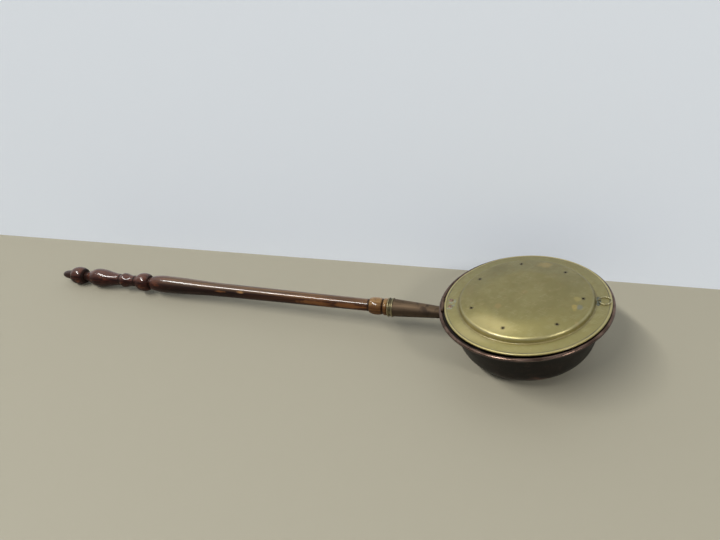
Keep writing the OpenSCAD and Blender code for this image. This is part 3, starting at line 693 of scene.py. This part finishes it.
# a painted glow of reflected light at the front left: the middle and the half size each way
PAINTED_GLOW = ((-66.0, -86.0, 110.0), (66.0, 38.0, 60.0))
# the middle height and the half height of a stain, and how far a vent's dark rim reaches
STAIN_HEIGHT = 110.0
STAIN_DEPTH = 30.0
VENT_STAIN = 5.2
# each stain, and one painted highlight: its middle, its half size, how ragged and how fine its
# edge, its colour and how much it covers
STAINS_AND_HIGHLIGHT = (
    ((31.8, 95.5), (16.0, 12.0), 1.1, 0.10, (0.56, 0.39, 0.13), 0.50),
    ((85.5, -30.5), (7.5, 9.0), 1.5, 0.16, (0.58, 0.42, 0.11), 0.50),
    ((93.2, -29.5), (6.4, 8.6), 0.8, 0.26, (0.265, 0.27, 0.21), 0.70),
    ((89.0, -8.0), (9.0, 8.0), 1.2, 0.16, (0.58, 0.46, 0.15), 0.40),
    ((-39.9, -32.6), (7.0, 9.0), 1.0, 0.20, (0.48, 0.30, 0.11), 0.35),
    # a painted highlight at the end of the step's shoulder, not a stain
    ((88.8, -69.9), (4.4, 5.0), 0.8, 0.30, (0.58, 0.40, 0.17), 0.35),
    ((1.6, 7.5), (7.5, 7.5), 0.7, 0.15, (0.36, 0.255, 0.09), 0.45),
    ((-95.0, 15.0), (9.0, 22.0), 1.2, 0.10, (0.33, 0.26, 0.10), 0.40),
)

aged_brass, tree, shader = finish("aged_brass", 0.94)


def lid_blotch(lid_place, middle, half, ragged, fineness):
    """A blotch right through the lid's sheet, for the stains, the painted highlight and the vents'
    dark rims.
    """
    return place_group(
        tree,
        blotch,
        Place=lid_place,
        Centre=(*middle, STAIN_HEIGHT),
        Reach=(*half, STAIN_DEPTH),
        Ragged=ragged,
        Grain=fineness,
    )


place = pan_place(tree)
from_middle = pan_place(tree, LID_CENTRE)
clouds = cloudy(tree, place, (0.022, 0.016, 0.02), 0.36, 0.66, detail=3.0)
colour = tint(tree, clouds, (0.268, 0.226, 0.076), (0.315, 0.270, 0.101))
mottle = cloudy(tree, place, 0.09, 0.44, 0.70, detail=6.0, shift=6.0)
axes = put(tree, "SeparateXYZ", {0: from_middle}).outputs
reach = span(tree, axes[0], axes[1])
colour = tint(tree, ease(tree, reach, *BORDER_TURN), colour, (0.345, 0.300, 0.118))
colour = lay_over(tree, colour, mottle, 0.35, (0.30, 0.235, 0.085))
# painted reflection: the lid is made lighter towards the front
painted_front_reflection = ease(tree, axes[1], *FRONT_REFLECTION)
colour = lay_over(tree, colour, painted_front_reflection, 0.75, (0.365, 0.315, 0.112))
# painted glow: a lighter patch at the front left stands in for reflected light
rubbed_and_glow = place_group(
    tree, blotch, Place=place, Centre=PAINTED_GLOW[0], Reach=PAINTED_GLOW[1], Ragged=0.7, Grain=0.02
)
colour = lay_over(tree, colour, rubbed_and_glow, 0.55, (0.52, 0.44, 0.20))
for middle, half, ragged, fineness, mark_colour, share in STAINS_AND_HIGHLIGHT:
    mask = lid_blotch(place, middle, half, ragged, fineness)
    colour = lay_over(tree, colour, mask, share, mark_colour)
for turn, out in VENTS:
    middle = (out * math.cos(math.radians(turn)), out * math.sin(math.radians(turn)))
    mask = lid_blotch(from_middle, middle, (VENT_STAIN, VENT_STAIN), 1.1, 0.25)
    colour = lay_over(tree, colour, mask, 0.75, VENT_RIM)
# a darker band along the foot of the step
step_foot_dark = place_group(
    tree,
    ring,
    Place=from_middle,
    Radius=STEP_FOOT,
    Height=STEP_FOOT_DARK_HEIGHT,
    Width=3.6,
    Soft=3.0,
    Ragged=2.4,
)
colour = lay_over(tree, colour, step_foot_dark, 0.6, (0.22, 0.175, 0.075))
# painted highlight: a lighter band along the top of the roll
painted_roll_highlight = place_group(
    tree,
    ring,
    Place=from_middle,
    Radius=ROLL_TOP[0],
    Height=ROLL_TOP[1],
    Width=2.4,
    Soft=1.4,
    Ragged=1.2,
)
colour = lay_over(tree, colour, painted_roll_highlight, 0.7, (0.58, 0.50, 0.225))
# painted highlight on the front of the step's shoulder, where the shoulder is also made smoother
step_polish_and_highlight = place_group(
    tree,
    ring,
    Place=from_middle,
    Radius=SHOULDER[0],
    Height=SHOULDER[1],
    Width=3.4,
    Soft=2.6,
    Ragged=1.4,
)
step_polish_and_highlight = calc(tree, "MULTIPLY", step_polish_and_highlight, ease(tree, axes[1], *FRONT_STEP_HIGHLIGHT))
colour = lay_over(tree, colour, step_polish_and_highlight, 0.45, (0.60, 0.54, 0.29))
# a thin dark line along the crease, with a small dip in the bump
crease = place_group(
    tree,
    ring,
    Place=from_middle,
    Radius=ROLL_CREASE,
    Height=BORDER_HEIGHT,
    Width=1.0,
    Soft=0.6,
    Ragged=0.5,
)
crease = calc(tree, "MULTIPLY", crease, vary(tree, clouds, 0.85, 0.35))
colour = tint(tree, crease, colour, (0.10, 0.092, 0.080))
wiped = place_group(tree, scratches, Place=place, Turn=0.5, Fineness=0.45)
crossed = place_group(tree, scratches, Place=place, Turn=-0.9, Fineness=0.6, Shift=4.0)
wiped = calc(tree, "MAXIMUM", wiped, crossed)
colour = lay_over(tree, colour, wiped, 0.30, (0.62, 0.55, 0.30))
smoke = cloudy(tree, place, 0.03, 0.28, 0.72, detail=7.0, shift=2.0)
smoked = tint(tree, smoke, (0.19, 0.145, 0.072), (0.092, 0.071, 0.043))
upper = facing_up(tree)
colour = tint(tree, upper, smoked, colour)


def verdigris(tree, place, spots, pale, dark):
    """Green corrosion round some spots: returns its mask and its colour."""
    mask = 0.0
    for middle, half in spots:
        spot = place_group(
            tree, blotch, Place=place, Centre=middle, Reach=half, Ragged=1.3, Grain=0.35
        )
        mask = calc(tree, "MAXIMUM", mask, spot)
    tone = cloudy(tree, place, 0.5, 0.42, 0.58, detail=4.0)
    return mask, tint(tree, tone, dark, pale)


# each green spot: its middle and its half size each way
GREEN_AT_RIVETS = (
    ((-120.8, -6.0, 101.0), (3.6, 7.5, 9.0)),
    ((-127.5, -27.0, 101.0), (6.5, 4.2, 9.0)),
    ((-127.0, -10.5, 101.0), (6.5, 4.0, 9.0)),
    ((-121.5, -19.0, 101.0), (3.4, 6.0, 9.0)),
)
GREEN_AT_LOOP = (
    ((122.4, 8.6, 101.0), (4.6, 5.6, 9.0)),
    ((122.4, -7.6, 101.0), (4.6, 6.2, 9.0)),
)
pale_green, pale_colour = verdigris(
    tree, place, GREEN_AT_RIVETS, (0.33, 0.36, 0.28), (0.22, 0.22, 0.14)
)
dark_green, dark_colour = verdigris(
    tree, place, GREEN_AT_LOOP, (0.12, 0.130, 0.090), (0.042, 0.044, 0.034)
)
colour = lay_over(tree, colour, pale_green, 0.75, pale_colour)
colour = tint(tree, dark_green, colour, dark_colour)
tree.links.new(colour, shader.inputs["Base Color"])
green = calc(tree, "MAXIMUM", pale_green, dark_green)
tree.links.new(vary(tree, green, 0.94, 0.1), shader.inputs["Metallic"])
roughness = vary(tree, mottle, 0.52, 0.60)
roughness = calc(tree, "MULTIPLY_ADD", step_polish_and_highlight, -0.13, roughness)
roughness = calc(tree, "MULTIPLY_ADD", green, 0.35, roughness)
roughness = blend(tree, upper, 0.6, roughness)
tree.links.new(roughness, shader.inputs["Roughness"])
height = place_group(tree, beaten, Place=place, Blow=22.0, Depth=0.07)
for start, end, fall in FALLS:
    height = calc(tree, "MULTIPLY_ADD", ease(tree, reach, start, end), fall, height)
height = calc(tree, "MULTIPLY_ADD", crease, -0.25, height)
height = calc(tree, "MULTIPLY_ADD", wiped, -0.01, height)
raise_bump(tree, shader, height)
shader.inputs["Coat Weight"].default_value = 0.6
shader.inputs["Coat Roughness"].default_value = 0.17
clad(aged_brass, "lid")


# ---- Lid's hinge leaf and rivets -------------------------------------------------------------
# A copper strap under the lid's border, rolled into the middle knuckle at its end.
# Two copper rivets hold it, their heads on top of the lid, with pale verdigris round them.
RIVET_HEADS = (((-128.7, -21.3, 103.0), (7.4, 7.4, 8.0)), ((-127.0, -3.5, 103.0), (7.4, 7.4, 8.0)))

clad(foot_copper, "lid_hinge_leaf")
lid_rivet_copper, tree, shader, place, colour = red_copper(
    "lid_rivet_copper", (0.22, 0.135, 0.088), (0.37, 0.25, 0.17)
)
middles, green_colour = verdigris(tree, place, RIVET_HEADS, (0.32, 0.35, 0.27), (0.18, 0.17, 0.11))
colour = tint(tree, middles, green_colour, colour)
tree.links.new(colour, shader.inputs["Base Color"])
tree.links.new(vary(tree, middles, 0.2, 0.9), shader.inputs["Metallic"])
clad(lid_rivet_copper, "lid_rivets")


# ---- Staple of the loop ----------------------------------------------------------------------
# A staple of brass wire through two holes in the lid, soft-soldered where it enters.
# The solder is a dull grey lump with greenish patches.
staple_brass, tree, shader = finish("staple_brass", 0.85)
place = pan_place(tree)
tone = cloudy(tree, place, 0.5, 0.40, 0.60, detail=4.0)
colour = tint(tree, tone, (0.20, 0.19, 0.11), (0.42, 0.37, 0.19))
tree.links.new(colour, shader.inputs["Base Color"])
tree.links.new(vary(tree, tone, 0.55, 0.35), shader.inputs["Roughness"])
raise_bump(tree, shader, place_group(tree, beaten, Place=place, Blow=1.5, Depth=0.05))
clad(staple_brass, "loop_staple")

soft_solder, tree, shader = finish("soft_solder", 0.5)
place = pan_place(tree)
tone = cloudy(tree, place, 0.7, 0.40, 0.60, detail=4.0)
colour = tint(tree, tone, (0.060, 0.085, 0.075), (0.24, 0.26, 0.23))
tree.links.new(colour, shader.inputs["Base Color"])
tree.links.new(vary(tree, tone, 0.75, 0.45), shader.inputs["Roughness"])
raise_bump(tree, shader, place_group(tree, beaten, Place=place, Blow=2.0, Depth=0.15))
clad(soft_solder, "staple_solder")


# ---- Lift loop -------------------------------------------------------------------------------
# A ring of brass wire that hangs in the staple and lies flat on the lid.
# Fingers keep it brighter than the lid, with a little dirt where it rubs in the staple.

# the loop is clean from the first distance out, and dirty up to the second
STAPLE_DIRT = (127.0, 123.0)

loop_brass, tree, shader = finish("loop_brass", 0.93)
place = pan_place(tree)
tone = cloudy(tree, place, 0.3, 0.38, 0.62, detail=5.0)
colour = tint(tree, tone, (0.42, 0.37, 0.20), (0.62, 0.57, 0.36))
axes = put(tree, "SeparateXYZ", {0: place}).outputs
at_staple = ease(tree, axes[0], *STAPLE_DIRT)
colour = lay_over(tree, colour, at_staple, 0.7, (0.14, 0.13, 0.09))
tree.links.new(colour, shader.inputs["Base Color"])
tree.links.new(vary(tree, tone, 0.40, 0.26), shader.inputs["Roughness"])
raise_bump(tree, shader, place_group(tree, beaten, Place=place, Blow=3.0, Depth=0.04))
clad(loop_brass, "lift_loop")
